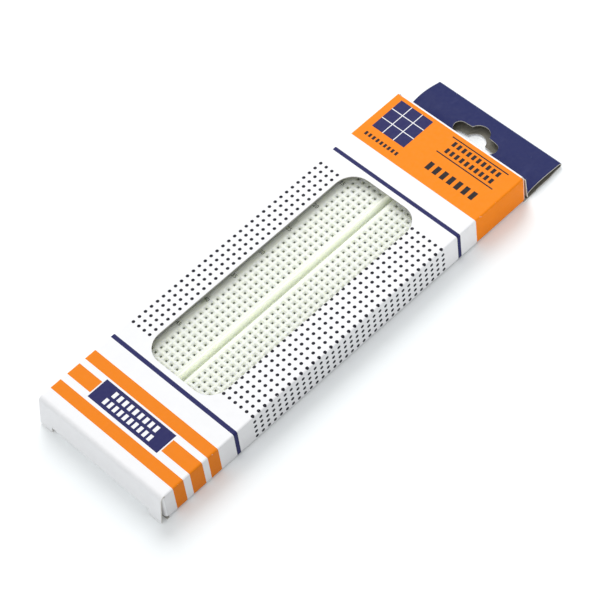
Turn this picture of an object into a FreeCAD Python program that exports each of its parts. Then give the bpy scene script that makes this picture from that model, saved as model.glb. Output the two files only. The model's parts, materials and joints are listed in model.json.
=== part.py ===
import FreeCAD, Part

import math
import os
import re

import Sketcher

# A 63-column solderless breadboard in its retail carton, lying on the carton's back.
# Frame: millimetres, X across the carton, Y along it towards the hang tab, +Z up out of the
# front panel. The origin lies on the back panel's outer face, midway between the sleeve's ends.

os.makedirs("parts", exist_ok=True)
doc = FreeCAD.newDocument("boxed_breadboard")
Vector = FreeCAD.Vector
X_AXIS = Vector(1, 0, 0)
Y_AXIS = Vector(0, 1, 0)
Z_AXIS = Vector(0, 0, 1)


# ---------------------------------------------------------------- driving dimensions

DIMENSIONS = {
    # carton sleeve, folded from one sheet of card
    "carton_width": 57.4,
    "carton_length": 167.2,
    "carton_height": 12.5,
    "card": 0.4,
    "crease": 0.4,
    "end_gap": 0.1,
    "front_set_back": 1.2,
    "glue_flap_width": 10.0,
    "glue_flap_length": 140.0,
    # display window cut in the front panel
    "window_width": 32.1,
    "window_length": 96.9,
    "window_across": -1.4,
    "window_along": -0.15,
    "window_corner": 7.5,
    # near closure, hinged on the front panel, tucked inside the back panel
    "closure_inset": 0.2,
    "near_lean": 9.0,
    "near_tuck_height": 0.65,
    "ear_width": 5.8,
    "ear_gap": 0.2,
    "ear_drop": 0.35,
    "ear_corner": 1.0,
    # far closure, hinged beside the hang tab, tucked behind the front panel
    "far_lean": 3.7,
    "far_hinge_out": 0.7,
    "far_hinge_height": 2.25,
    "far_tuck_height": 11.75,
    "far_tuck_inset": 1.2,
    # the tuck flaps of both closures
    "tuck_length": 8.4,
    "tuck_corner": 2.5,
    # dust flaps
    "dust_length": 15.0,
    "dust_set_back": 0.45,
    "far_dust_gap": 0.05,
    "far_dust_rise": 1.0,
    "dust_low": 0.95,
    "dust_high": 11.45,
    "dust_taper": 6.2,
    "dust_share": 0.4,
    # hang tab, two layers with a fold at the outer edge
    "tab_width": 55.8,
    "tab_length": 18.0,
    "tab_gap": 1.2,
    "shoulder_width": 57.2,
    "shoulder_length": 4.5,
    "hole_across": -0.9,
    "hole_along": 8.4,
    "hole_radius": 4.0,
    "lobe_radius": 2.6,
    "lobe_spread": 7.0,
    "lobe_drop": 1.9,
    "hole_waist": 0.2,
    "hole_slip": 2.4,
    "tool_height": 12.0,
    # breadboard
    "pitch": 2.54,
    "columns": 63,
    "rows_per_bank": 5,
    "bank_gap": 7.62,
    "board_length": 165.0,
    "block_width": 35.6,
    "strip_width": 9.4,
    "block_height": 8.3,
    "board_across": -0.8,
    "board_along": 0.15,
    "board_rest": 1.5,
    "groove_width": 2.0,
    "groove_depth": 3.0,
    "funnel_mouth": 1.9,
    "funnel_depth": 0.7,
    "throat": 0.95,
    "roof": 1.7,
    "cavity_width": 1.7,
    "cavity_length": 12.3,
    "rail_groups": 10,
    "rail_group_pitch": 15.24,
    "dovetail_root": 3.0,
    "dovetail_tip": 4.2,
    "dovetail_depth": 1.6,
    "dovetail_play": 0.05,
    # contact clips
    "clip_gauge": 0.15,
    "clip_width": 1.3,
    "clip_length": 12.1,
    "clip_height": 6.0,
    "clip_lift": 0.1,
    "finger_slot": 0.4,
    "finger_root": 1.8,
    "clip_knee": 3.18,
    "clip_pinch": 5.22,
    "pinch_gap": 0.18,
    # adhesive backing
    "pad_thickness": 0.5,
    "liner_thickness": 0.1,
    "pad_margin": 0.5,
}

sheet = doc.addObject("Spreadsheet::Sheet", "sheet")
for row, (alias, number) in enumerate(DIMENSIONS.items(), start=1):
    sheet.set(f"A{row}", alias)
    sheet.set(f"B{row}", str(number))
    sheet.setAlias(f"B{row}", alias)
doc.recompute()


def size(alias):
    """A driving dimension, read from its cell."""
    return float(sheet.get(alias))


def rule(text):
    """An expression whose dimension names point at their cells."""
    return re.sub(r"[a-z_]+", lambda word: f"sheet.{word[0]}" if word[0] in DIMENSIONS else word[0], text)


# ---------------------------------------------------------------- parametric helpers

parts = {}


def keep(part, label):
    """Marks a document object as the sub-part that this label names."""
    part.Label = label
    parts[label] = part
    return part


def place(part, corner, axis=None, degrees=None):
    """Binds a part's position, and its turn about an axis, to the sheet."""
    if axis is not None:
        part.Placement = FreeCAD.Placement(Vector(0, 0, 0), FreeCAD.Rotation(axis, 1))
        part.setExpression("Placement.Rotation.Angle", f"({rule(degrees)}) * 1 deg")
    for letter, text in zip("xyz", corner):
        part.setExpression(f"Placement.Base.{letter}", rule(text))


def block(name, corner, lengths):
    """A rectangular block with its low corner and its three lengths bound to the sheet."""
    part = doc.addObject("Part::Box", name)
    for property_name, text in zip(("Length", "Width", "Height"), lengths):
        part.setExpression(property_name, rule(text))
    place(part, corner)
    return part


def origin_plane(body, role):
    return next(plane for plane in body.Origin.OriginFeatures if plane.Role == role)


def outline(sketch, corners):
    """Adds a closed outline to a sketch, each corner held by two expressions."""
    first = sketch.GeometryCount
    count = len(corners)
    turns = [2 * math.pi * index / count for index in range(count)]
    seeds = [Vector(math.cos(turn), math.sin(turn), 0) for turn in turns]
    for index in range(count):
        sketch.addGeometry(Part.LineSegment(seeds[index], seeds[(index + 1) % count]))
    for index, corner in enumerate(corners):
        line = first + index
        following = first + (index + 1) % count
        sketch.addConstraint(Sketcher.Constraint("Coincident", line, 2, following, 1))
        for kind, text, seed in zip(("DistanceX", "DistanceY"), corner, seeds[index]):
            number = sketch.addConstraint(Sketcher.Constraint(kind, -1, 1, line, 1, seed))
            sketch.setExpression(f"Constraints[{number}]", rule(text))


def card_piece(label, role, outlines, thickness="card"):
    """A flat piece of card: outlines on one origin plane, padded to both sides of it."""
    body = doc.addObject("PartDesign::Body", label + "_body")
    sketch = body.newObject("Sketcher::SketchObject", label + "_outline")
    sketch.AttachmentSupport = [(origin_plane(body, role), "")]
    sketch.MapMode = "FlatFace"
    for corners in outlines:
        outline(sketch, corners)
    pad = body.newObject("PartDesign::Pad", label + "_pad")
    pad.Profile = sketch
    pad.SideType = "Symmetric"
    pad.setExpression("Length", rule(thickness))
    doc.recompute()
    return keep(body, label)


def round_corners(body, radius, chosen):
    """Fillets the edges across the card's thickness that the chosen test accepts."""
    base = body.Tip
    thickness = size("card")
    names = []
    for number, edge in enumerate(base.Shape.Edges, start=1):
        middle = edge.CenterOfMass
        if abs(edge.Length - thickness) < 1e-6 and chosen(middle):
            names.append(f"Edge{number}")
    fillet = body.newObject("PartDesign::Fillet", body.Label + "_corners")
    fillet.Base = (base, names)
    fillet.setExpression("Radius", rule(radius))
    doc.recompute()


def rectangle(low_x, low_y, high_x, high_y):
    return [(low_x, low_y), (high_x, low_y), (high_x, high_y), (low_x, high_y)]


# ---------------------------------------------------------------- carton sleeve

def make_front_panel():
    panel = rectangle("-carton_width / 2", "-carton_length / 2 + card / 2 + crease",
                      "carton_width / 2", "carton_length / 2 - front_set_back")
    window = rectangle("window_across - window_width / 2", "window_along - window_length / 2",
                       "window_across + window_width / 2", "window_along + window_length / 2")
    front = card_piece("carton_front_panel", "XY_Plane", [panel, window])
    half_panel = size("carton_width") / 2
    round_corners(front, "window_corner", lambda middle: abs(middle.x) < half_panel - 1)
    place(front, ("0", "0", "carton_height - card / 2"))


def make_back_panel():
    back = block("back", ("-carton_width / 2", "-carton_length / 2 + card + end_gap", "0"),
                 ("carton_width", "carton_length + far_hinge_out - crease - card - end_gap", "card"))
    keep(back, "carton_back_panel")


def make_side_panels():
    inset = "(card / 2 + dust_set_back + crease + end_gap)"
    low = f"-carton_length / 2 + {inset}"
    reach = f"carton_length - 2 * {inset}"
    lefts = {"carton_left_side": "-carton_width / 2", "carton_right_side": "carton_width / 2 - card"}
    for label, left in lefts.items():
        side = block(label + "_box", (left, low, "card"), ("card", reach, "carton_height - 2 * card"))
        keep(side, label)


def make_glue_flap():
    """The strip that closes the sleeve: folded in from the left side, glued to the back panel."""
    slope = "glue_flap_length / 2 - glue_flap_width / 2"
    corners = [("0", "-glue_flap_length / 2"), ("glue_flap_width", "-(" + slope + ")"),
               ("glue_flap_width", slope), ("0", "glue_flap_length / 2")]
    flap = card_piece("carton_glue_flap", "XY_Plane", [corners])
    place(flap, ("-carton_width / 2 + card", "0", "card * 3 / 2"))


# ---------------------------------------------------------------- near closure

NEAR_HINGE_Y = "(-carton_length / 2 + card / 2)"
NEAR_HINGE_Z = "(carton_height - card / 2)"
NEAR_REACH = f"(({NEAR_HINGE_Z} - near_tuck_height) / cos(near_lean * 1 deg))"


def make_near_closure():
    """Drawn hanging straight down from the fold, then leaned outwards to its sprung rest."""
    half = "(carton_width / 2 - closure_inset)"
    neck = f"({half} - ear_width)"
    edge = f"-({NEAR_REACH} - crease)"
    ear = f"-({NEAR_REACH} + ear_drop)"
    corners = [(f"-{half}", "-crease"), (f"-{half}", f"{ear} + ear_corner"), (f"-{half} + ear_corner", ear),
               (f"-{neck}", ear), (f"-{neck}", edge), (neck, edge), (neck, ear),
               (f"{half} - ear_corner", ear), (half, f"{ear} + ear_corner"), (half, "-crease")]
    closure = card_piece("near_closure", "XZ_Plane", [corners])
    place(closure, ("0", NEAR_HINGE_Y, NEAR_HINGE_Z), -X_AXIS, "near_lean")


def make_near_tuck():
    half = "(carton_width / 2 - closure_inset - ear_width - ear_gap)"
    corners = rectangle(f"-{half}", "crease", half, "tuck_length")
    tuck = card_piece("near_tuck_flap", "XY_Plane", [corners])
    half_length = size("tuck_length") / 2
    round_corners(tuck, "tuck_corner", lambda middle: middle.y > half_length)
    hinge_y = f"{NEAR_HINGE_Y} - {NEAR_REACH} * sin(near_lean * 1 deg)"
    place(tuck, ("0", hinge_y, "near_tuck_height"))


# ---------------------------------------------------------------- far closure

FAR_HINGE_Y = "(carton_length / 2 + far_hinge_out)"
FAR_REACH = "((far_tuck_height - far_hinge_height) / cos(far_lean * 1 deg))"


def make_far_closure():
    """Drawn standing up from the fold beside the hang tab, then leaned in against the carton."""
    half = "(carton_width / 2 - closure_inset)"
    corners = rectangle(f"-{half}", "crease * 3 / 4", half, f"{FAR_REACH} - crease / 2")
    closure = card_piece("far_closure", "XZ_Plane", [corners])
    place(closure, ("0", FAR_HINGE_Y, "far_hinge_height"), X_AXIS, "far_lean")


def make_far_tuck():
    half = "(carton_width / 2 - far_tuck_inset)"
    corners = rectangle(f"-{half}", "-tuck_length", half, "-crease")
    tuck = card_piece("far_tuck_flap", "XY_Plane", [corners])
    half_length = size("tuck_length") / 2
    round_corners(tuck, "tuck_corner", lambda middle: middle.y < -half_length)
    hinge_y = f"{FAR_HINGE_Y} - {FAR_REACH} * sin(far_lean * 1 deg)"
    place(tuck, ("0", hinge_y, "far_tuck_height"))


# ---------------------------------------------------------------- dust flaps

def make_dust_flap(end, hand, plane_y, low_root, low_tip, high_tip, open_angle):
    """A flap hinged on a side panel's end, folded in behind the closure, tapered to its tip."""
    sign = "-" if hand == "left" else ""
    inward = "" if hand == "left" else "-"
    corners = [(f"{inward}crease", low_root), (f"{inward}dust_length", low_tip),
               (f"{inward}dust_length", high_tip), (f"{inward}crease", "dust_high")]
    flap = card_piece(f"{end}_dust_flap_{hand}", "XZ_Plane", [corners])
    place(flap, (f"{sign}(carton_width / 2 - card / 2)", plane_y, "0"), Z_AXIS, f"{sign}1 * {open_angle}")


def make_dust_flaps():
    """The near pair rests a little open, because its closure does; the far pair lies flat."""
    near_plane = "-carton_length / 2 + card / 2 + dust_set_back"
    far_plane = "carton_length / 2 - dust_set_back - far_dust_gap"
    near_heights = ("dust_low", "dust_low", "dust_high - dust_taper")
    far_root = "dust_low + far_dust_rise"
    far_heights = (far_root, f"{far_root} + dust_taper", "dust_high")
    for hand in ("left", "right"):
        make_dust_flap("near", hand, near_plane, *near_heights, "near_lean * dust_share")
        make_dust_flap("far", hand, far_plane, *far_heights, "0")


# ---------------------------------------------------------------- hang tab

def upright_cylinder(name, radius, across, along):
    """A hole tool that runs past both layers of the tab."""
    tool = doc.addObject("Part::Cylinder", name)
    tool.setExpression("Radius", rule(radius))
    tool.setExpression("Height", rule("tool_height"))
    place(tool, (across, f"{FAR_HINGE_Y} + {along}", "-tool_height / 2"))
    return tool


def hang_hole_tool(layer, along):
    """A display-hook hole: a round centre with a smaller round lobe at each side."""
    centre = upright_cylinder(layer + "_hole_centre", "hole_radius", "hole_across", along)
    lobe_y = f"{along} - lobe_drop"
    left = upright_cylinder(layer + "_hole_left", "lobe_radius", "hole_across - lobe_spread", lobe_y)
    right = upright_cylinder(layer + "_hole_right", "lobe_radius", "hole_across + lobe_spread", lobe_y)
    low_y = f"{FAR_HINGE_Y} + {along} - hole_radius"
    bridge = block(layer + "_hole_bridge", ("hole_across - lobe_spread", low_y, "-tool_height / 2"),
                   ("2 * lobe_spread", "hole_radius - lobe_drop + lobe_radius - hole_waist", "tool_height"))
    tool = doc.addObject("Part::MultiFuse", layer + "_hole")
    tool.Shapes = [centre, left, right, bridge]
    return tool


def half_round(name, radius):
    """Half a cylinder along X, bulging towards +Y, centred between the tab's two layers."""
    part = doc.addObject("Part::Cylinder", name)
    part.setExpression("Radius", rule(radius))
    part.setExpression("Height", rule("tab_width"))
    part.Angle = 180
    place(part, ("-tab_width / 2", f"{FAR_HINGE_Y} + tab_length - card - tab_gap / 2", "card + tab_gap / 2"),
          Y_AXIS, "90")
    return part


def make_hang_tab():
    """Two layers folded from one strip; the fold lands a little long, so their holes are offset."""
    flat = "tab_length - card - tab_gap / 2"
    upper_y = f"{FAR_HINGE_Y} + crease + card / 2"
    lower_slab = block("tab_lower_slab", ("-tab_width / 2", f"{FAR_HINGE_Y} + crease", "0"),
                       ("tab_width", f"{flat} - crease", "card"))
    shoulder = block("tab_shoulder", ("-shoulder_width / 2", f"{FAR_HINGE_Y} + crease", "0"),
                     ("shoulder_width", "shoulder_length - crease", "card"))
    fold = doc.addObject("Part::Cut", "tab_fold")
    fold.Base = half_round("tab_fold_outside", "card + tab_gap / 2")
    fold.Tool = half_round("tab_fold_inside", "tab_gap / 2")
    lower = doc.addObject("Part::MultiFuse", "tab_lower")
    lower.Shapes = [lower_slab, shoulder, fold]
    upper = block("tab_upper_slab", ("-tab_width / 2", upper_y, "card + tab_gap"),
                  ("tab_width", f"{flat} - crease - card / 2", "card"))
    layers = (("hang_tab_lower", lower, "hole_along - hole_slip"), ("hang_tab_upper", upper, "hole_along"))
    for label, solid, along in layers:
        pierced = doc.addObject("Part::Cut", label + "_cut")
        pierced.Base = solid
        pierced.Tool = hang_hole_tool(label, along)
        keep(pierced, label)


# ---------------------------------------------------------------- breadboard housings

def facet(points):
    return Part.Face(Part.makePolygon(list(points) + [points[0]]))


def loop_at(outline_2d, height):
    return [Vector(x, y, height) for x, y in outline_2d]


def walls(lower, upper):
    """One flat facet for each side between two loops of the same number of corners."""
    lower_next = lower[1:] + lower[:1]
    upper_next = upper[1:] + upper[:1]
    return [facet(corners) for corners in zip(lower, lower_next, upper_next, upper)]


def upright_facet(start, stop, bottom, top):
    return facet([Vector(*start, bottom), Vector(*stop, bottom), Vector(*stop, top), Vector(*start, top)])


def square(x, y, side_x, side_y=None):
    half_x = side_x / 2
    half_y = (side_x if side_y is None else side_y) / 2
    return rectangle(x - half_x, y - half_y, x + half_x, y + half_y)


def plate(outline_2d, holes, height):
    """A flat face at one height, with square holes left in it."""
    closed = [loop + loop[:1] for loop in [outline_2d] + holes]
    loops = [Part.makePolygon(loop_at(loop, height)) for loop in closed]
    return Part.makeFace(loops, "Part::FaceMakerCheese")


def contact_hole(x, y, top):
    """The facets of one lead-in funnel and the square throat under it."""
    mouth = loop_at(square(x, y, size("funnel_mouth")), top)
    neck = loop_at(square(x, y, size("throat")), top - size("funnel_depth"))
    foot = loop_at(square(x, y, size("throat")), top - size("roof"))
    return walls(mouth, neck) + walls(neck, foot)


def clip_cavity(cavity, holes, bottom, ceiling):
    """The facets of one pocket for a clip, open below, with its contact holes in the ceiling."""
    throats = [square(x, y, size("throat")) for x, y in holes]
    return walls(loop_at(cavity, bottom), loop_at(cavity, ceiling)) + [plate(cavity, throats, ceiling)]


def sewn_solid(facets):
    shell = Part.makeShell(facets)
    shell.sewShape()
    solid = Part.makeSolid(shell.Shells[0] if shell.Shells else shell)
    if solid.Volume < 0:
        solid.reverse()
    return solid


def dovetails(x, outward, grow, upward):
    """Outline points of the dovetails along one long side, in the middle of each quarter."""
    points = []
    spots = [size("board_length") * quarter / 4 for quarter in (-1.5, -0.5, 0.5, 1.5)]
    root = size("dovetail_root") / 2 + grow
    tip = size("dovetail_tip") / 2 + grow
    reach = outward * (size("dovetail_depth") + grow)
    for middle in spots:
        points += [(x, middle - root), (x + reach, middle - tip)]
        points += [(x + reach, middle + tip), (x, middle + root)]
    return points if upward else points[::-1]


def column_places():
    count = int(size("columns"))
    return [(column - (count - 1) / 2) * size("pitch") for column in range(count)]


def bank_places(side):
    """The five rows of one bank, counted outwards from the centre groove; side is -1 or 1."""
    rows = range(int(size("rows_per_bank")))
    return [side * (size("bank_gap") / 2 + row * size("pitch")) for row in rows]


def make_terminal_block():
    """The centre moulding: two banks of five rows, a groove between them, clip pockets below."""
    half = size("block_width") / 2
    end = size("board_length") / 2
    groove = size("groove_width") / 2
    bottom = 0.0
    top = size("block_height")
    ceiling = top - size("roof")
    floor = top - size("groove_depth")
    facets = []
    mouths = {-1: [], 1: []}
    cavities = []
    for y in column_places():
        for side in (-1, 1):
            holes = [(x, y) for x in bank_places(side)]
            middle = (holes[0][0] + holes[-1][0]) / 2
            cavity = square(middle, y, size("cavity_length"), size("cavity_width"))
            cavities.append(cavity)
            facets += clip_cavity(cavity, holes, bottom, ceiling)
            for x, hole_y in holes:
                mouths[side].append(square(x, hole_y, size("funnel_mouth")))
                facets += contact_hole(x, hole_y, top)
    tongues = dovetails(half, 1, 0, upward=True)
    slots = dovetails(-half, 1, size("dovetail_play"), upward=False)
    right = [(half, -end)] + tongues + [(half, end)]
    left = [(-half, end)] + slots + [(-half, -end)]
    facets.append(plate(right + left, cavities, bottom))
    facets.append(plate([(groove, -end)] + right + [(groove, end)], mouths[1], top))
    facets.append(plate([(-groove, end)] + left + [(-groove, -end)], mouths[-1], top))
    for side_line in (right, left):
        for start, stop in zip(side_line, side_line[1:]):
            facets.append(upright_facet(start, stop, bottom, top))
    for y in (-end, end):
        profile = [(-half, bottom), (half, bottom), (half, top), (groove, top), (groove, floor),
                   (-groove, floor), (-groove, top), (-half, top)]
        facets.append(facet([Vector(x, y, z) for x, z in profile]))
    trench = [(-groove, top), (-groove, floor), (groove, floor), (groove, top)]
    for (x1, z1), (x2, z2) in zip(trench, trench[1:]):
        near_line = [Vector(x1, -end, z1), Vector(x2, -end, z2)]
        far_line = [Vector(x2, end, z2), Vector(x1, end, z1)]
        facets.append(facet(near_line + far_line))
    return sewn_solid(facets)


def rail_places():
    """The fifty holes of a power rail: ten groups of five."""
    groups = int(size("rail_groups"))
    spots = []
    for group in range(groups):
        middle = (group - (groups - 1) / 2) * size("rail_group_pitch")
        spots += [middle + step * size("pitch") for step in (-2, -1, 0, 1, 2)]
    return spots


def make_bus_strip(side):
    """An outer moulding with two power rails, dovetailed to the terminal block."""
    half = size("strip_width") / 2
    end = size("board_length") / 2
    bottom = 0.0
    top = size("block_height")
    ceiling = top - size("roof")
    spots = rail_places()
    reach = spots[-1] - spots[0] + size("cavity_length") - 4 * size("pitch")
    facets = []
    mouths = []
    cavities = []
    for x in (-size("pitch") / 2, size("pitch") / 2):
        holes = [(x, y) for y in spots]
        cavity = square(x, 0, size("cavity_width"), reach)
        cavities.append(cavity)
        facets += clip_cavity(cavity, holes, bottom, ceiling)
        for hole_x, y in holes:
            mouths.append(square(hole_x, y, size("funnel_mouth")))
            facets += contact_hole(hole_x, y, top)
    right = [(half, -end)] + (dovetails(half, 1, 0, upward=True) if side < 0 else []) + [(half, end)]
    slots = dovetails(-half, 1, size("dovetail_play"), upward=False) if side > 0 else []
    left = [(-half, end)] + slots + [(-half, -end)]
    edge = right + left
    facets.append(plate(edge, cavities, bottom))
    facets.append(plate(edge, mouths, top))
    facets += walls(loop_at(edge, bottom), loop_at(edge, top))
    return sewn_solid(facets)


# ---------------------------------------------------------------- contact clips

def clip_profile():
    """Half of the sprung U: out along the base, up the leg, in to the pinch and out to the lip."""
    half = size("clip_width") / 2
    gauge = size("clip_gauge")
    height = size("clip_height")
    knee = size("clip_knee")
    pinch = size("clip_pinch")
    jaw = size("pinch_gap") / 2
    outer = [(half, 0), (half, knee), (gauge + jaw, pinch), (half - gauge, height)]
    inner = [(half - 2 * gauge, height), (jaw, pinch), (half - gauge, knee), (half - gauge, gauge)]
    return outer + inner


def clip_solid(length):
    """A five-finger clip with its fingers in line along X and its base at height 0."""
    half = clip_profile()
    profile = half + [(-y, z) for y, z in reversed(half)]
    clip = facet([Vector(-length / 2, y, z) for y, z in profile]).extrude(Vector(length, 0, 0))
    slot = size("finger_slot")
    for step in (-1.5, -0.5, 0.5, 1.5):
        low = Vector(step * size("pitch") - slot / 2, -size("clip_width"), size("finger_root"))
        clip = clip.cut(Part.makeBox(slot, 2 * size("clip_width"), size("clip_height"), low))
    return clip


def make_terminal_clips(side):
    """One bank's sixty-three clips, each joining the five holes of its column."""
    clip = clip_solid(size("clip_length"))
    rows = bank_places(side)
    middle = (rows[0] + rows[-1]) / 2
    clips = []
    for y in column_places():
        copy = clip.copy()
        copy.translate(Vector(middle, y, size("clip_lift")))
        clips.append(copy)
    return Part.makeCompound(clips)


def make_rail_clip():
    """One power rail's clip: ten five-finger groups on one long base."""
    group = clip_solid(size("clip_length"))
    group.rotate(Vector(0, 0, 0), Z_AXIS, 90)
    spots = rail_places()
    length = spots[-1] - spots[0] + size("clip_length") - 4 * size("pitch")
    corner = Vector(-size("clip_width") / 2, -length / 2, 0)
    base = Part.makeBox(size("clip_width"), length, size("clip_gauge"), corner)
    pieces = []
    for first in range(0, len(spots), 5):
        copy = group.copy()
        copy.translate(Vector(0, spots[first + 2], 0))
        pieces.append(copy)
    return base.multiFuse(pieces).removeSplitter()


# ---------------------------------------------------------------- breadboard assembly

def board_piece(label, shape, across=0.0, lift=0.0):
    """A breadboard piece whose shape is worked out here, placed from the sheet."""
    part = doc.addObject("Part::Feature", label + "_shape")
    part.Shape = shape
    corner = Vector(size("board_across") + across, size("board_along"), size("board_rest") + lift)
    part.Placement = FreeCAD.Placement(corner, FreeCAD.Rotation())
    keep(part, label)


def make_backing():
    """The foam pad under the whole board and the peel-off liner on it."""
    low_x = "board_across - block_width / 2 - strip_width + pad_margin"
    low_y = "board_along - board_length / 2 + pad_margin"
    across = "block_width + 2 * strip_width - 2 * pad_margin"
    along = "board_length - 2 * pad_margin"
    pad = block("pad", (low_x, low_y, "board_rest - pad_thickness"), (across, along, "pad_thickness"))
    keep(pad, "adhesive_foam_pad")
    liner_z = "board_rest - pad_thickness - liner_thickness"
    liner = block("liner", (low_x, low_y, liner_z), (across, along, "liner_thickness"))
    keep(liner, "release_liner")


def make_breadboard():
    strip_across = (size("block_width") + size("strip_width")) / 2
    board_piece("terminal_block", make_terminal_block())
    board_piece("bus_strip_left", make_bus_strip(-1), -strip_across)
    board_piece("bus_strip_right", make_bus_strip(1), strip_across)
    board_piece("terminal_clips_left", make_terminal_clips(-1))
    board_piece("terminal_clips_right", make_terminal_clips(1))
    for hand, sign in (("left", -1), ("right", 1)):
        for name, offset in (("inner", -sign), ("outer", sign)):
            across = sign * strip_across + offset * size("pitch") / 2
            board_piece(f"rail_clip_{hand}_{name}", make_rail_clip(), across, size("clip_lift"))
    make_backing()


# ---------------------------------------------------------------- the whole object

make_front_panel()
make_back_panel()
make_side_panels()
make_glue_flap()
make_near_closure()
make_near_tuck()
make_far_closure()
make_far_tuck()
make_dust_flaps()
make_hang_tab()
make_breadboard()
doc.recompute()

for item in doc.Objects:
    if "Invalid" in item.State or "Error" in item.State:
        raise RuntimeError(f"{item.Label} failed to compute")
for label, part in parts.items():
    if part.Shape.isNull() or not part.Shape.isValid():
        raise RuntimeError(f"{label} has no valid shape")
for label, part in parts.items():
    part.Shape.exportStep(f"parts/{label}.step")
    limits = part.Shape.BoundBox
    print(f"{label}: {len(part.Shape.Solids)} solid(s), {len(part.Shape.Faces)} faces, "
          f"{part.Shape.Volume:.1f} mm3, X {limits.XMin:.2f}..{limits.XMax:.2f}, "
          f"Y {limits.YMin:.2f}..{limits.YMax:.2f}, Z {limits.ZMin:.2f}..{limits.ZMax:.2f}")
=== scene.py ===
import json
import math

import bmesh
import bpy
from mathutils import Matrix, Vector
from mathutils.geometry import tessellate_polygon


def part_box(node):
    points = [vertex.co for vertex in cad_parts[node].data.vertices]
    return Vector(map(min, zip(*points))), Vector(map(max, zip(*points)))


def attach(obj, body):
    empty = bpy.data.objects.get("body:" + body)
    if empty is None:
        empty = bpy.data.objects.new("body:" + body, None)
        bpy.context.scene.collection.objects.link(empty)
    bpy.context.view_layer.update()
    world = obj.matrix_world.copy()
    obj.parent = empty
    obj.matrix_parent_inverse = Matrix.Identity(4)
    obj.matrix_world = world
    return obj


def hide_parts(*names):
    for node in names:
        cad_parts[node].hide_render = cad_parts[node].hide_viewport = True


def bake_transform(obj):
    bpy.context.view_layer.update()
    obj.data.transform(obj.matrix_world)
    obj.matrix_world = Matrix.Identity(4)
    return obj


# A solderless breadboard in its folding display carton: the looks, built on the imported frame.
# Lengths are in metres. MM turns the small sizes, which are given in millimetres, into metres.

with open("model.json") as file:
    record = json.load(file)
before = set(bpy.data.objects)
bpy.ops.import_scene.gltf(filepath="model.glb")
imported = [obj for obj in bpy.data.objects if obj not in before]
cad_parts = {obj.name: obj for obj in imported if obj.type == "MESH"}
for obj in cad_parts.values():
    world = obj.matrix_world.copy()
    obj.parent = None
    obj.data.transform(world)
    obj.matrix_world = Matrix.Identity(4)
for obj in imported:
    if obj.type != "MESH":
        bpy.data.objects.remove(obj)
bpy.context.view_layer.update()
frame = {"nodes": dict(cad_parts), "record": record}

MM = 0.001
RECORD = frame["record"]
JOINTS = {joint["name"]: joint for joint in RECORD["behaviour"]["joints"]}


# ---------------------------------------------------------------- places read from the frame

def span(node):
    """A node's lowest and highest corner, in millimetres."""
    low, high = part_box(node)
    return Vector(low) / MM, Vector(high) / MM


def joint_place(name):
    return Vector(JOINTS[name]["pos_m"]) / MM


FRONT_LOW, FRONT_HIGH = span("carton_front_panel")
BACK_LOW, BACK_HIGH = span("carton_back_panel")
CARD = FRONT_HIGH.z - FRONT_LOW.z
HALF_WIDTH = FRONT_HIGH.x
HEIGHT = FRONT_HIGH.z
MIDDLE_Z = HEIGHT - CARD / 2
NEAR_FOLD = joint_place("near_closure_fold")
NEAR_CREASE = joint_place("near_tuck_crease")
FAR_FOLD = joint_place("far_closure_fold")
FAR_CREASE = joint_place("far_tuck_crease")
FAR_DUST_CREASE = joint_place("far_dust_right_fold").y
NEAR_EDGE = NEAR_FOLD.y - CARD / 2
NEAR_LEAN = abs(JOINTS["near_closure_fold"]["range_deg"][0])


# ---------------------------------------------------------------- folded card

class Fold:
    """A line through straight runs and arcs in a plane, followed by a bent sheet of card."""

    def __init__(self, start, degrees):
        self.angle = math.radians(degrees)
        self.stations = [(0.0, start[0], start[1], self.angle)]

    def advance(self, along, chord, heading):
        """Adds a station: along is the way on the line, and chord the straight way there."""
        s, p, q, _angle = self.stations[-1]
        place = (p + chord * math.cos(heading), q + chord * math.sin(heading))
        self.stations.append((s + along, *place, self.angle))

    def straight(self, length, steps=1):
        step = length / steps
        for _ in range(steps):
            self.advance(step, step, self.angle)
        return self

    def arc(self, radius, degrees, steps=10):
        turn = math.radians(degrees) / steps
        step = abs(radius * turn)
        chord = 2 * radius * math.sin(abs(turn) / 2)
        for _ in range(steps):
            middle = self.angle + turn / 2
            self.angle += turn
            self.advance(step, chord, middle)
        return self

    def length(self):
        return self.stations[-1][0]

    def at(self, s):
        """The point and the heading at distance s along the line."""
        for first, second in zip(self.stations, self.stations[1:]):
            if s <= second[0] + 1e-9:
                break
        share = (s - first[0]) / (second[0] - first[0])
        return tuple(a + (b - a) * share for a, b in zip(first[1:], second[1:]))


def rounded(corners, steps=8):
    """A closed outline; each corner is (across, along) or (across, along, radius)."""
    points = []
    count = len(corners)
    for index, corner in enumerate(corners):
        here = Vector(corner[:2])
        radius = corner[2] if len(corner) > 2 else 0
        if not radius:
            points.append(here)
            continue
        to_last = (Vector(corners[index - 1][:2]) - here).normalized()
        to_next = (Vector(corners[(index + 1) % count][:2]) - here).normalized()
        half_angle = to_last.angle(to_next) / 2
        centre = here + (to_last + to_next).normalized() * radius / math.sin(half_angle)
        start = here + to_last * radius / math.tan(half_angle) - centre
        finish = here + to_next * radius / math.tan(half_angle) - centre
        sweep = start.angle_signed(finish)
        for step in range(steps + 1):
            points.append(centre + Matrix.Rotation(-sweep * step / steps, 2) @ start)
    return points


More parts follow.
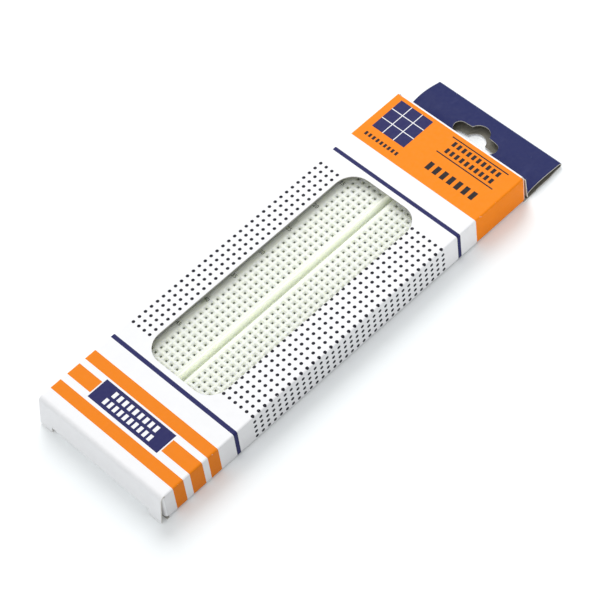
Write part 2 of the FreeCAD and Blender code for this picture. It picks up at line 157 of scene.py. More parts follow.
def bend_card(loops, fold, place, outside=1, warp=None):
    """A sheet of card cut to flat loops (across, along), then bent along the fold.

    place turns (p, q, across), with p and q in the fold's plane, into a point of the scene. outside
    is 1 when the printed face is on the left of the fold's heading, and -1 when it is on the right.
    warp moves each point a little afterwards.
    The faces get material 0 outside, 1 inside and 2 on the cut edges."""
    flat = bmesh.new()
    corners = [flat.verts.new((point[0], point[1], 0)) for loop in loops for point in loop]
    for triangle in tessellate_polygon([[Vector((p[0], p[1], 0)) for p in loop] for loop in loops]):
        flat.faces.new([corners[index] for index in triangle])
    for s, *_rest in fold.stations[1:-1]:
        geometry = flat.verts[:] + flat.edges[:] + flat.faces[:]
        bmesh.ops.bisect_plane(flat, geom=geometry, plane_co=(0, s, 0), plane_no=(0, 1, 0))
    sheet = bmesh.new()
    skins = []
    for side in (outside, -outside):
        skin = {}
        for vert in flat.verts:
            p, q, angle = fold.at(max(0.0, min(fold.length(), vert.co.y)))
            offset = side * CARD / 2
            point = Vector(place(p - offset * math.sin(angle), q + offset * math.cos(angle), vert.co.x))
            if warp:
                point = warp(point)
            skin[vert] = sheet.verts.new(point * MM)
        skins.append(skin)
    for face in flat.faces:
        sheet.faces.new([skins[0][v] for v in face.verts]).material_index = 0
        sheet.faces.new([skins[1][v] for v in reversed(face.verts)]).material_index = 1
    for edge in flat.edges:
        if edge.is_boundary:
            a, b = edge.verts
            sheet.faces.new([skins[0][a], skins[0][b], skins[1][b], skins[1][a]]).material_index = 2
    bmesh.ops.recalc_face_normals(sheet, faces=sheet.faces[:])
    flat.free()
    return sheet


def join(meshes):
    """One bmesh from several, which are used up."""
    whole = bmesh.new()
    for part in meshes:
        scratch = bpy.data.meshes.new("scratch")
        part.to_mesh(scratch)
        part.free()
        whole.from_mesh(scratch)
        bpy.data.meshes.remove(scratch)
    return whole


def make_piece(name, geometry, materials, sharp=40):
    """Turns a bmesh into a shown object with smooth curves and sharp corners."""
    mesh = bpy.data.meshes.new(name)
    geometry.to_mesh(mesh)
    geometry.free()
    mesh.shade_smooth()
    mesh.set_sharp_from_angle(angle=math.radians(sharp))
    for material in materials:
        mesh.materials.append(material)
    piece = bpy.data.objects.new(name, mesh)
    bpy.context.scene.collection.objects.link(piece)
    return piece


def box_outline(low_x, low_y, high_x, high_y, radius=0):
    corners = [(low_x, low_y), (high_x, low_y), (high_x, high_y), (low_x, high_y)]
    return rounded([(x, y, radius) for x, y in corners])


def tangent_length(radius, degrees):
    """How far before its crease an arc of this radius and turn begins."""
    return radius * math.tan(math.radians(degrees) / 2)


# ---------------------------------------------------------------- shader building

class Shader:
    """A material's node tree, with short names for the nodes that these materials need."""

    def __init__(self, name, roughness=0.5, specular=0.5):
        self.material = bpy.data.materials.new(name)
        self.material.use_nodes = True
        self.tree = self.material.node_tree
        self.surface = self.tree.nodes["Principled BSDF"]
        self.surface.inputs["Roughness"].default_value = roughness
        self.surface.inputs["Specular IOR Level"].default_value = specular
        place = self.tree.nodes.new("ShaderNodeTexCoord")
        scale = self.tree.nodes.new("ShaderNodeVectorMath")
        scale.operation = "SCALE"
        scale.inputs["Scale"].default_value = 1 / MM
        self.tree.links.new(place.outputs["Object"], scale.inputs[0])
        self.place = scale.outputs[0]
        split = self.tree.nodes.new("ShaderNodeSeparateXYZ")
        self.tree.links.new(self.place, split.inputs[0])
        self.x, self.y, self.z = split.outputs

    def feed(self, socket, value):
        if isinstance(value, bpy.types.NodeSocket):
            self.tree.links.new(value, socket)
        else:
            socket.default_value = value

    def math(self, operation, a, b=0.0):
        node = self.tree.nodes.new("ShaderNodeMath")
        node.operation = operation
        self.feed(node.inputs[0], a)
        self.feed(node.inputs[1], b)
        return node.outputs[0]

    def above(self, value, limit):
        return self.math("GREATER_THAN", value, limit)

    def between(self, value, low, high):
        return self.math("MULTIPLY", self.above(value, low), self.math("LESS_THAN", value, high))

    def both(self, *masks):
        result = masks[0]
        for mask in masks[1:]:
            result = self.math("MULTIPLY", result, mask)
        return result

    def either(self, *masks):
        result = masks[0]
        for mask in masks[1:]:
            result = self.math("MAXIMUM", result, mask)
        return result

    def outside(self, mask):
        return self.math("SUBTRACT", 1.0, mask)

    def without(self, mask, hole):
        return self.math("MULTIPLY", mask, self.outside(hole))

    def noise(self, scale, detail=3.0, stretch=(1, 1, 1), roughness=0.5):
        """Noise with its scale in repeats per millimetre."""
        stretched = self.tree.nodes.new("ShaderNodeVectorMath")
        stretched.operation = "MULTIPLY"
        self.tree.links.new(self.place, stretched.inputs[0])
        stretched.inputs[1].default_value = stretch
        node = self.tree.nodes.new("ShaderNodeTexNoise")
        self.tree.links.new(stretched.outputs[0], node.inputs["Vector"])
        node.inputs["Scale"].default_value = scale
        node.inputs["Detail"].default_value = detail
        node.inputs["Roughness"].default_value = roughness
        return node.outputs["Fac"]

    def remap(self, value, low, high, to_low=0.0, to_high=1.0):
        node = self.tree.nodes.new("ShaderNodeMapRange")
        self.feed(node.inputs["Value"], value)
        node.inputs["From Min"].default_value = low
        node.inputs["From Max"].default_value = high
        node.inputs["To Min"].default_value = to_low
        node.inputs["To Max"].default_value = to_high
        return node.outputs["Result"]

    def mix(self, share, first, second):
        node = self.tree.nodes.new("ShaderNodeMix")
        node.data_type = "RGBA"
        self.feed(node.inputs["Factor"], share)
        for socket, value in ((node.inputs["A"], first), (node.inputs["B"], second)):
            self.feed(socket, value)
        return node.outputs["Result"]

    def tint(self, color, value):
        """The colour multiplied by a grey value."""
        node = self.tree.nodes.new("ShaderNodeVectorMath")
        node.operation = "SCALE"
        self.feed(node.inputs[0], color[:3] if isinstance(color, tuple) else color)
        self.feed(node.inputs["Scale"], value)
        return node.outputs[0]

    def bump(self, height, distance, strength=1.0):
        node = self.tree.nodes.new("ShaderNodeBump")
        node.inputs["Strength"].default_value = strength
        node.inputs["Distance"].default_value = distance * MM
        self.tree.links.new(height, node.inputs["Height"])
        self.tree.links.new(node.outputs["Normal"], self.surface.inputs["Normal"])

    def color(self, value):
        self.feed(self.surface.inputs["Base Color"], value)

    def rough(self, value):
        self.feed(self.surface.inputs["Roughness"], value)


def rgb(red, green, blue):
    """A colour given as display values from 0 to 255, turned into linear light."""
    linear = []
    for value in (red, green, blue):
        share = value / 255
        linear.append(share / 12.92 if share <= 0.04045 else ((share + 0.055) / 1.055) ** 2.4)
    return (*linear, 1.0)


INK_ORANGE = rgb(251, 137, 4)
INK_ORANGE_BANDS = rgb(240, 131, 8)
INK_NAVY = rgb(38, 39, 94)
INK_TAB = rgb(30, 37, 90)
INK_DOTS = rgb(28, 26, 38)
INK_BLACK = rgb(38, 32, 34)
CARD_WHITE = rgb(245, 245, 246)
CARD_INSIDE = rgb(188, 184, 176)
CARD_CORE = rgb(214, 211, 204)


# ---------------------------------------------------------------- printed card

# Where the print lies: along the carton from the near fold, and across it from the left fold.
ORANGE_BANDS = [(5.1, 9.5), (12.3, 17.7), (20.1, 24.6)]
NAVY_LINES = [(31.4, 33.0), (133.9, 135.4)]
ORANGE_BLOCK = 142.9
NAME_PLATE = (11.7, 10.8, 44.0, 19.4)
PLATE_BORDER = 0.45
EMBLEM = (3.2, 150.0, 18.0, 164.6)
EMBLEM_LINE = 0.16
RULES = [(27.3, 155.96, 52.6, 156.44), (27.3, 163.96, 52.6, 164.44)]
# Rows of blocks that stand for words: low corner, high corner and the width of a letter.
PLATE_WORDS = [(17.0, 15.7, 38.6, 18.1, 2.4), (16.4, 12.1, 39.4, 14.5, 2.3)]
BLOCK_WORDS = [(29.0, 161.0, 51.0, 163.2, 2.2), (29.0, 157.4, 51.0, 159.6, 2.2),
               (28.4, 148.2, 51.1, 151.8, 3.2), (3.1, 145.7, 18.8, 147.3, 1.7)]
LETTER_SHARE = 0.58
# Rows of dots: the first one's place, the pitch and the count.
DOT_ROWS = (40.36, 2.706, 33)
DOT_COLUMNS_LEFT = (1.5, 2.6, 4)
DOT_COLUMNS_RIGHT = (43.75, 2.6, 6)
DOT_COLUMNS_SIDE = (2.55, 2.6, 4)
DOT_RADIUS = 0.61
SIDE_DOT_RADIUS = 0.68
# The front's own print reaches this far below the front's face.
FRONT_DEPTH = 0.35
# The worn strip along the front's long folds: how far down and in it reaches, and how white it is.
WORN_DEPTH = 0.45
WORN_WIDTH = 0.35
WORN_SHARE = 0.5
# The ink is rubbed off in a thin line just before the far dust flaps' crease.
END_CREASE = (0.62, 0.28)
END_CREASE_WIDTH = 0.3
END_CREASE_SHARE = 0.7
# Painted shade along the foot of the side panels, a painted contact shadow: it fades out upwards between
# these heights.
PAINTED_FOOT_SHADE_HEIGHTS = (0.45, 1.3)
PAINTED_FOOT_SHADE_WIDTH = 1.2
PAINTED_FOOT_SHADE_TONE = 0.42
# Painted shade: the right side's card is darker towards the near end, standing in for light that falls
# off along it.
PAINTED_SIDE_SHADE = 0.80
PAINTED_SIDE_SHADE_LENGTH = 150.0
PAINTED_SIDE_SHADE_WIDTH = 0.12


def nearest(shader, value, first, pitch, count):
    """Distance from value to the nearest of count evenly spaced places."""
    steps = shader.math("ROUND", shader.math("DIVIDE", shader.math("SUBTRACT", value, first), pitch))
    steps = shader.math("MINIMUM", shader.math("MAXIMUM", steps, 0.0), count - 1.0)
    place = shader.math("ADD", shader.math("MULTIPLY", steps, pitch), first)
    return shader.math("SUBTRACT", value, place)


def dots(shader, across, along, columns, radius=DOT_RADIUS):
    dx = nearest(shader, across, *columns)
    dy = nearest(shader, along, *DOT_ROWS)
    square = shader.math("ADD", shader.math("MULTIPLY", dx, dx), shader.math("MULTIPLY", dy, dy))
    return shader.math("LESS_THAN", square, radius ** 2)


def rectangle(shader, across, along, low_x, low_y, high_x, high_y):
    return shader.both(shader.between(across, low_x, high_x), shader.between(along, low_y, high_y))


def greeked(shader, across, along, low_x, low_y, high_x, high_y, letter):
    """A row of plain blocks that stands where a line of words would be."""
    count = round((high_x - low_x) / letter)
    pitch = (high_x - low_x) / count
    offset = nearest(shader, across, low_x + pitch / 2, pitch, count)
    half = pitch * LETTER_SHARE / 2
    block = shader.math("LESS_THAN", shader.math("ABSOLUTE", offset), half)
    return shader.both(rectangle(shader, across, along, low_x, low_y, high_x, high_y), block)


def card_surface(shader, color):
    """The fine mottle, fibre relief and satin coating that every printed face has."""
    mottle = shader.remap(shader.noise(0.35, 4.0), 0.3, 0.7, 0.975, 1.0)
    shader.color(shader.tint(color, mottle))
    fibre = shader.noise(5.0, 5.0, roughness=0.65)
    wave = shader.noise(0.06, 2.0)
    relief = shader.math("ADD", shader.math("MULTIPLY", fibre, 0.12), wave)
    shader.bump(relief, 0.05, 0.6)
    shader.rough(shader.remap(shader.noise(0.8, 4.0), 0.3, 0.7, 0.52, 0.64))


def printed_card():
    """The carton's outside: white coated board with orange, navy and black ink."""
    shader = Shader("printed_card", specular=0.16)
    along = shader.math("SUBTRACT", shader.y, NEAR_EDGE)
    across = shader.math("ADD", shader.x, HALF_WIDTH)
    from_middle = shader.math("ABSOLUTE", shader.x)
    depth = shader.math("SUBTRACT", HEIGHT, shader.z)
    front = shader.above(shader.z, HEIGHT - FRONT_DEPTH)

    def on_front(areas, shape=rectangle):
        return shader.both(shader.either(*[shape(shader, across, along, *area) for area in areas]), front)

    bands = shader.either(*[shader.between(along, *band) for band in ORANGE_BANDS])
    lines = shader.either(*[shader.between(along, *line) for line in NAVY_LINES])
    x0, y0, x1, y1 = NAME_PLATE
    border = on_front([(x0 - PLATE_BORDER, y0 - PLATE_BORDER, x1 + PLATE_BORDER, y1 + PLATE_BORDER)])
    paint = shader.mix(shader.above(along, ORANGE_BLOCK), CARD_WHITE, INK_ORANGE)
    paint = shader.mix(shader.without(bands, border), paint, INK_ORANGE_BANDS)
    paint = shader.mix(shader.either(on_front([NAME_PLATE, EMBLEM]), lines), paint, INK_NAVY)
    side_dots = shader.without(dots(shader, depth, along, DOT_COLUMNS_SIDE, SIDE_DOT_RADIUS), front)
    front_dots = shader.either(dots(shader, across, along, DOT_COLUMNS_LEFT),
                               dots(shader, across, along, DOT_COLUMNS_RIGHT))
    front_dots = shader.both(front_dots, front)
    paint = shader.mix(shader.either(side_dots, front_dots), paint, INK_DOTS)
    x0, y0, x1, y1 = EMBLEM
    step = (x1 - x0) / 3
    grid_x = nearest(shader, across, x0 + step, step, 2)
    grid_y = nearest(shader, along, y0 + step, step, 2)
    grid = shader.either(shader.between(grid_x, -EMBLEM_LINE, EMBLEM_LINE),
                         shader.between(grid_y, -EMBLEM_LINE, EMBLEM_LINE))
    white = shader.either(shader.both(grid, on_front([EMBLEM])), on_front(PLATE_WORDS, greeked))
    paint = shader.mix(white, paint, CARD_WHITE)
    black = shader.either(on_front(RULES), on_front(BLOCK_WORDS, greeked))
    paint = shader.mix(black, paint, INK_BLACK)

    fold = shader.both(shader.above(from_middle, HALF_WIDTH - WORN_WIDTH),
                       shader.above(shader.z, HEIGHT - WORN_DEPTH))
    cracks = shader.both(fold, shader.above(shader.noise(2.2, 5.0, stretch=(1, 0.35, 1)), 0.65))
    paint = shader.mix(shader.math("MULTIPLY", cracks, WORN_SHARE), paint, CARD_WHITE)
    end_crease = shader.both(shader.above(from_middle, HALF_WIDTH - END_CREASE_WIDTH),
                             shader.between(shader.y, *[FAR_DUST_CREASE - back for back in END_CREASE]))
    paint = shader.mix(shader.math("MULTIPLY", end_crease, END_CREASE_SHARE), paint, CARD_WHITE)
    # Painted shade: the card darkens towards the floor near the side panels' foot, a painted contact
    # shadow.
    foot_shade = shader.remap(shader.z, *PAINTED_FOOT_SHADE_HEIGHTS, PAINTED_FOOT_SHADE_TONE, 1.0)
    foot_shade = shader.either(foot_shade, shader.outside(shader.above(from_middle, HALF_WIDTH - PAINTED_FOOT_SHADE_WIDTH)))
    # Painted shade: the right side darkens towards the near end.
    side_shade = shader.remap(along, 0.0, PAINTED_SIDE_SHADE_LENGTH, PAINTED_SIDE_SHADE, 1.0)
    on_side = shader.above(shader.x, HALF_WIDTH - PAINTED_SIDE_SHADE_WIDTH)
    side_shade = shader.either(side_shade, shader.outside(on_side))
    card_surface(shader, shader.tint(paint, shader.math("MULTIPLY", foot_shade, side_shade)))
    return shader.material


def navy_card():
    """The hang tab's solid ink, with the small pale scuffs and dust that a dark print shows."""
    shader = Shader("navy_card", specular=0.16)
    specks = shader.above(shader.noise(1.3, 6.0, roughness=0.7), 0.735)
    rub = shader.remap(shader.noise(0.22, 4.0, stretch=(1, 0.4, 1)), 0.55, 0.8, 0.0, 0.12)
    paint = shader.mix(rub, INK_TAB, rgb(92, 96, 140))
    paint = shader.mix(shader.math("MULTIPLY", specks, 0.35), paint, rgb(170, 170, 190))
    card_surface(shader, paint)
    return shader.material


def coated_card():
    """The closures and their flaps: the same white coated face with nothing printed on it."""
    shader = Shader("coated_card", specular=0.16)
    card_surface(shader, CARD_WHITE)
    return shader.material


def plain_card(name, color, fibre_scale, contrast):
    """Uncoated card: the grey inside face, or the torn-looking core at a cut edge."""
    shader = Shader(name, roughness=0.85, specular=0.25)
    fibres = shader.noise(fibre_scale, 6.0, stretch=(1, 0.45, 2.5), roughness=0.7)
    shade = shader.remap(fibres, 0.3, 0.7, 1 - contrast, 1.0)
    shader.color(shader.tint(color, shade))
    shader.bump(fibres, 0.05, 0.8)
    shader.rough(shader.remap(fibres, 0.3, 0.7, 0.75, 0.95))
    return shader.material


INSIDE = plain_card("card_inside", CARD_INSIDE, 2.5, 0.12)
CORE = plain_card("card_core", CARD_CORE, 7.0, 0.22)
SLEEVE_MATERIALS = (printed_card(), INSIDE, CORE)
FLAP_MATERIALS = (coated_card(), INSIDE, CORE)
# The tab's inside face is a darker copy of the inside card: painted shade for the gap between the tab's
# layers.
NAVY_MATERIALS = (navy_card(), plain_card("tab_shaded_inside", rgb(124, 121, 110), 2.5, 0.25), CORE)


# ---------------------------------------------------------------- carton sleeve

# Radii of the folds, at the middle of the card's thickness.
SIDE_FOLD = 0.45
FOOT_FOLD = 1.2
NEAR_FOLD_RADIUS = 1.7
DUST_FOLD_RADIUS = {"near": 0.95, "far": 0.7}
# The near dust flaps rest this many degrees short of square.
NEAR_DUST_OPENING = 3.6
# Beyond the side panels' ends, the front and back panels reach this near to the full width.
LIP_GAP = 0.05
LIP_NOTCH = 0.02
# The window in the card is larger than the clear opening by WINDOW_INSET all round.
WINDOW = RECORD["physics"]["openings"][0]["box_m"]
WINDOW_INSET = 2.3
WINDOW_CORNER = 7.5


def lengthways(p, q, across):
    """Places a fold drawn in the (y, z) plane."""
    return across, p, q


def window_outline():
    low, high = (Vector(corner) / MM for corner in WINDOW)
    return box_outline(low.x - WINDOW_INSET, low.y - WINDOW_INSET,
                       high.x + WINDOW_INSET, high.y + WINDOW_INSET, WINDOW_CORNER)


def dust_fold(end):
    """Where a dust flap's fold leaves the side panel, its turn in degrees and its tangent length."""
    turn = 90 - NEAR_DUST_OPENING if end == "near" else 90
    tangent = tangent_length(DUST_FOLD_RADIUS[end], turn)
    crease = joint_place(f"{end}_dust_right_fold").y
    return (crease + tangent if end == "near" else crease - tangent), turn, tangent


def make_sleeve():
    start = NEAR_FOLD.y + tangent_length(NEAR_FOLD_RADIUS, 90 - NEAR_LEAN)
    tube_near = dust_fold("near")[0]
    tube_far = dust_fold("far")[0]
    lip = HALF_WIDTH - LIP_GAP

    def plate(near, far, z, side, fold_radius, holes=()):
        """The front or the back panel, up to where its long folds begin."""
        flat = HALF_WIDTH - CARD / 2 - fold_radius
        right = [(lip, near), (lip, tube_near - LIP_NOTCH), (flat, tube_near), (flat, min(far, tube_far))]
        if far > tube_far:
            right += [(lip, tube_far + LIP_NOTCH), (lip, far)]
        corners = right + [(-x, y) for x, y in reversed(right)]
        loops = [[Vector((x, y - near)) for x, y in corners]]
        loops += [[Vector((p.x, p.y - near)) for p in hole] for hole in holes]
        return bend_card(loops, Fold((near, z), 0).straight(far - near), lengthways, outside=side)

    parts = [plate(start, FRONT_HIGH.y, MIDDLE_Z, 1, SIDE_FOLD, [window_outline()]),
             plate(BACK_LOW.y, BACK_HIGH.y, CARD / 2, -1, FOOT_FOLD)]
    drop = HEIGHT - CARD - SIDE_FOLD - FOOT_FOLD
    fold = Fold((HALF_WIDTH - CARD / 2 - SIDE_FOLD, MIDDLE_Z), 0)
    fold.arc(SIDE_FOLD, -90, 6).straight(drop).arc(FOOT_FOLD, -90, 8)
    strip = box_outline(tube_near, 0, tube_far, fold.length())
    for hand in (-1, 1):
        parts.append(bend_card([strip], fold, lambda p, q, along, hand=hand: (hand * p, along, q)))
    sleeve = make_piece("carton_sleeve_card", join(parts), SLEEVE_MATERIALS)
    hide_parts("carton_front_panel", "carton_back_panel", "carton_left_side", "carton_right_side")
    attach(sleeve, "carton_sleeve")


# ---------------------------------------------------------------- near closure

# The tuck flap's card leaves the closure this far above the crease, between two slits. It bends
# in and down, runs straight for TUCK_DROP and then bends level.
CREASE_UP = 2.0
CARD_START = 0.05
TUCK_BEND = 1.0
TUCK_DROP_TURN = 58
TUCK_DROP = 0.9
TUCK_LEVEL_RADIUS = 1.6
TUCK_CORNER = 2.5
SLIT_GAP = 0.2
SLIT_CORNER = 0.15
CLOSURE_OVERHANG = 0.33
CLOSURE_CORNER = 0.5


def make_near_closure():
    turn = 90 - NEAR_LEAN
    tangent = tangent_length(NEAR_FOLD_RADIUS, turn)
    half = span("near_closure")[1].x
    neck = span("near_tuck_flap")[1].x + SLIT_GAP
    reach = (NEAR_FOLD - NEAR_CREASE).length
    fold = Fold((NEAR_FOLD.y + tangent, NEAR_FOLD.z), 180).arc(NEAR_FOLD_RADIUS, turn, 12)
    waist = fold.length() + reach - tangent - CREASE_UP
    fold.straight(reach - tangent + CLOSURE_OVERHANG, 3)
    end = fold.length()
    corners = [(-half, 0), (half, 0), (half, end, CLOSURE_CORNER), (neck, end, SLIT_CORNER),
               (neck, waist, SLIT_CORNER), (-neck, waist, SLIT_CORNER), (-neck, end, SLIT_CORNER),
               (-half, end, CLOSURE_CORNER)]
    card = bend_card([rounded(corners)], fold, lengthways, outside=-1)
    closure = make_piece("near_closure_card", card, FLAP_MATERIALS)
    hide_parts("near_closure")
    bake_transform(closure)


def tuck_outline(half, length):
    corners = [(-half, 0), (half, 0), (half, length, TUCK_CORNER), (-half, length, TUCK_CORNER)]
    return rounded(corners)


def make_near_tuck():
    high = span("near_tuck_flap")[1]
    heading = 270 - NEAR_LEAN
    direction = math.radians(heading)
    start = (NEAR_CREASE.y - CREASE_UP * math.cos(direction),
             NEAR_CREASE.z - CREASE_UP * math.sin(direction))
    fold = Fold(start, heading).straight(CARD_START).arc(TUCK_BEND, TUCK_DROP_TURN + NEAR_LEAN, 10)
    fold.straight(TUCK_DROP).arc(TUCK_LEVEL_RADIUS, 90 - TUCK_DROP_TURN, 6)
    fold.straight(high.y - fold.stations[-1][1])
    card = bend_card([tuck_outline(high.x, fold.length())], fold, lengthways, outside=-1)
    tuck = make_piece("near_tuck_card", card, FLAP_MATERIALS)
    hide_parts("near_tuck_flap")
    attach(tuck, "near_tuck_body")


# ---------------------------------------------------------------- hang tab and far closure

# The display-hook hole: a round middle with a lobe on each side, closed straight below. The
# middle's arc begins HOLE_TOP above its centre.
HOLE_CENTRE = Vector(RECORD["mounts"][1]["pos_m"]) / MM
HOLE_RADIUS = 4.0
HOLE_TOP = 1.0
LOBE_RADIUS = 2.6
LOBE_SPREAD = 7.0
LOBE_DROP = 1.9
# The lower layer's hole is this much nearer than the upper layer's.
HOLE_SLIP = 2.4
# The gap between the tab's layers at its left and right edges, and how far both arch up.
TAB_GAP_LEFT = 1.7
TAB_GAP_RIGHT = 0.6
TAB_ARCH = 0.3
TAB_ARCH_SKEW = 0.9
# The lower layer's outline near its root: the way along, and how much wider it is there.
TAB_SHOULDERS = [(0.0, 0.0), (4.6, 0.05), (5.0, -0.1), (11.0, -0.1), (15.0, -0.55)]
# Where the far closure's foot meets the tab, the card is pressed down.
FOOT_DROP = 0.9
FOOT_DROP_LENGTH = 0.9
FOOT_RADIUS = 0.45
FAR_TOP_RADIUS = 1.4


def tab_fold():
    """Where the tab's lower layer starts, where its outer fold starts, and the fold's radius."""
    radius = span("hang_tab_upper")[0].z / 2
    flat = span("hang_tab_lower")[1].y - CARD / 2 - radius
    return BACK_HIGH.y, flat, radius


def hang_hole(flatten):
    """The display-hook hole's outline in the flat card; flatten turns y into a place along it."""
    lobe = [math.radians(degrees) for degrees in range(-90, 100, 12)]
    right_lobe = [(LOBE_SPREAD + LOBE_RADIUS * math.cos(a), LOBE_RADIUS * math.sin(a) - LOBE_DROP)
                  for a in lobe]
    rise = math.asin(HOLE_TOP / HOLE_RADIUS)
    turns = 14
    arch = [rise + (math.pi - 2 * rise) * index / turns for index in range(turns + 1)]
    centre = [(HOLE_RADIUS * math.cos(a), HOLE_RADIUS * math.sin(a)) for a in arch]
    left_lobe = [(-x, y) for x, y in reversed(right_lobe)]
    outline = right_lobe + centre + left_lobe
    return [Vector((HOLE_CENTRE.x + x, flatten(HOLE_CENTRE.y + y))) for x, y in outline]


def closure_foot():
    """The degrees that the far closure's foot turns through, its height and its tangent length,
    and where the tab's upper layer starts."""
    lean = math.atan2(FAR_FOLD.y - FAR_CREASE.y, FAR_CREASE.z - FAR_FOLD.z)
    turn = 90 - math.degrees(lean)
    height = span("hang_tab_upper")[0].z + CARD / 2 - FOOT_DROP
    tangent = tangent_length(FOOT_RADIUS, turn)
    root = FAR_FOLD.y + (FAR_FOLD.z - height) * math.tan(lean) + tangent
    return turn, height, tangent, root


def tab_lift(point):
    """The tab's upper layer arches off the lower one, most at its left edge."""
    flat = tab_fold()[1]
    root = closure_foot()[3]
    share = max(0.0, min(1.0, (point.y - root) / (flat - root)))
    upper = min(1.0, max(0.0, point.z - CARD) / CARD)
    leftness = (HALF_WIDTH - point.x) / (2 * HALF_WIDTH)
    gap = TAB_GAP_RIGHT + (TAB_GAP_LEFT - TAB_GAP_RIGHT) * leftness
    point.z += math.sin(math.pi * share ** TAB_ARCH_SKEW) * (TAB_ARCH + (gap - TAB_ARCH) * upper)
    point.z -= FOOT_DROP * upper * math.exp(-max(0.0, point.y - root) / FOOT_DROP_LENGTH)
    return point


def make_hang_tab():
    start, flat, radius = tab_fold()
    root = closure_foot()[3]
    fold = Fold((start, CARD / 2), 0).straight(flat - start, 12).arc(radius, 180, 12)
    fold.straight(flat - root, 24)
    half = span("hang_tab_upper")[1].x
    widest = span("hang_tab_lower")[1].x
    shoulder = [(widest + wider, along) for along, wider in TAB_SHOULDERS]
    right = shoulder + [(half, flat - start), (half, fold.length())]
    outline = [Vector(corner) for corner in right + [(-x, y) for x, y in reversed(right)]]
    lower_hole = hang_hole(lambda y: y - HOLE_SLIP - start)
    upper_hole = hang_hole(lambda y: 2 * flat - start + math.pi * radius - y)
    card = bend_card([outline, lower_hole, upper_hole], fold, lengthways, outside=-1, warp=tab_lift)
    tab = make_piece("hang_tab_card", card, NAVY_MATERIALS)
    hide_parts("hang_tab_lower", "hang_tab_upper")
    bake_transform(tab)


def make_far_closure():
    """The far closure and its tuck flap, which its upper fold runs into."""
    half = span("far_closure")[1].x
    turn, layer, tangent, root = closure_foot()
    fold = Fold((root, layer), 180).arc(FOOT_RADIUS, -turn, 10)
    reach = (FAR_CREASE - FAR_FOLD).length + (FAR_FOLD.z - layer)
    fold.straight(reach - tangent - tangent_length(FAR_TOP_RADIUS, turn), 2)
    card = bend_card([box_outline(-half, 0, half, fold.length())], fold, lengthways, outside=-1)
    closure = make_piece("far_closure_card", card, FLAP_MATERIALS)
    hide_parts("far_closure")
    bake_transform(closure)
    _length, top_y, top_z, heading = fold.stations[-1]
    tuck_low, tuck_high = span("far_tuck_flap")
    fold = Fold((top_y, top_z), math.degrees(heading)).arc(FAR_TOP_RADIUS, turn, 8)
    fold.straight(fold.stations[-1][1] - tuck_low.y)
    card = bend_card([tuck_outline(tuck_high.x, fold.length())], fold, lengthways, outside=-1)
    tuck = make_piece("far_tuck_card", card, FLAP_MATERIALS)
    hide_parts("far_tuck_flap")
    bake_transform(tuck)


# ---------------------------------------------------------------- dust flaps

DUST_LENGTH = 15.0
DUST_TAPER = 6.2
DUST_CORNERS = (1.0, 1.5)
# The far dust flaps stay this far below their CAD nodes' top, clear of the tuck flap's bend.
TOP_CLEARANCE = 0.6


def make_dust_flap(end, hand):
    """A tapered flap that folds in from a side panel's end."""
    sign = -1 if hand == "left" else 1
    near = end == "near"
    node = f"{end}_dust_flap_{hand}"
    joint = joint_place(f"{end}_dust_{hand}_fold")
    low, high = span(node)
    start, turn, tangent = dust_fold(end)
    heading, side = (-90, 1) if near else (90, -1)
    fold = Fold((joint.x * sign, start), heading).arc(DUST_FOLD_RADIUS[end], -side * turn, 8)
    bend = fold.length()
    fold.straight(DUST_LENGTH - tangent)
    length = fold.length()
    foot = CARD / 2 + FOOT_FOLD
    brow = HEIGHT - CARD / 2 - SIDE_FOLD
    top = high.z if near else high.z - TOP_CLEARANCE
    small, large = DUST_CORNERS
    corners = [(foot, 0), (brow, 0), (brow, bend / 2), (top, bend * 2)]
    if near:
        corners += [(top - DUST_TAPER, length, small), (low.z, length, large)]
    else:
        corners += [(top, length, large), (low.z + DUST_TAPER, length, small)]
    corners += [(low.z, bend * 2), (foot, bend / 2)]
    card = bend_card([rounded(corners)], fold, lambda p, q, z: (sign * p, q, z), outside=side)
    flap = make_piece(f"{end}_dust_card_{hand}", card, SLEEVE_MATERIALS)
    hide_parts(node)
    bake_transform(flap)


# ---------------------------------------------------------------- breadboard

PITCH = 2.54
ROWS = 5
COLUMNS = 63
BLOCK_HALF = 17.8
BLOCK_BEVEL = 0.35
BOARD_LOW, BOARD_HIGH = span("terminal_block")
BOARD_TOP = BOARD_HIGH.z
BOARD_X = span("bus_strip_right")[0].x - BLOCK_HALF
BOARD_Y = (BOARD_LOW.y + BOARD_HIGH.y) / 2
BANK_START = 3.81
# The centre groove: half its width, its rounded rim, and its walls' draft and bottom chamfer.
GROOVE = 1.0
GROOVE_DEPTH = 3.0
GROOVE_RIM = 0.75
GROOVE_DRAFT = 0.03
GROOVE_CHAMFER = 0.25
# A contact hole from its rim down: half its width, and its height from the board's top. The
# rings below SLOPE_RINGS are the throat.
HOLE_PROFILE = [(0.98, 0.0), (0.91, -0.02), (0.86, -0.06), (0.43, -0.29),
                (0.38, -0.35), (0.37, -0.5), (0.37, -1.9)]
HOLE_SQUARENESS = 9.0
SLOPE_RINGS = 4
RING = 16
WELD = 0.002


def ring_turns():
    """The cosine and sine of each point's angle on a ring."""
    angles = [2 * math.pi * index / RING for index in range(RING)]
    return [(math.cos(angle), math.sin(angle)) for angle in angles]


def hole_ring(half):
    """Points round a square with softened corners; the same count for every size."""
    points = []
    for c, s in ring_turns():
        reach = (abs(c) ** HOLE_SQUARENESS + abs(s) ** HOLE_SQUARENESS) ** (-1 / HOLE_SQUARENESS)
        points.append((half * reach * c, half * reach * s))
    return points


def cell_ring():
    """The same number of points on the edge of one cell, at its corners and between them."""
    points = []
    for c, s in ring_turns():
        scale = PITCH / 2 / max(abs(c), abs(s))
        points.append((scale * c, scale * s))
    return points


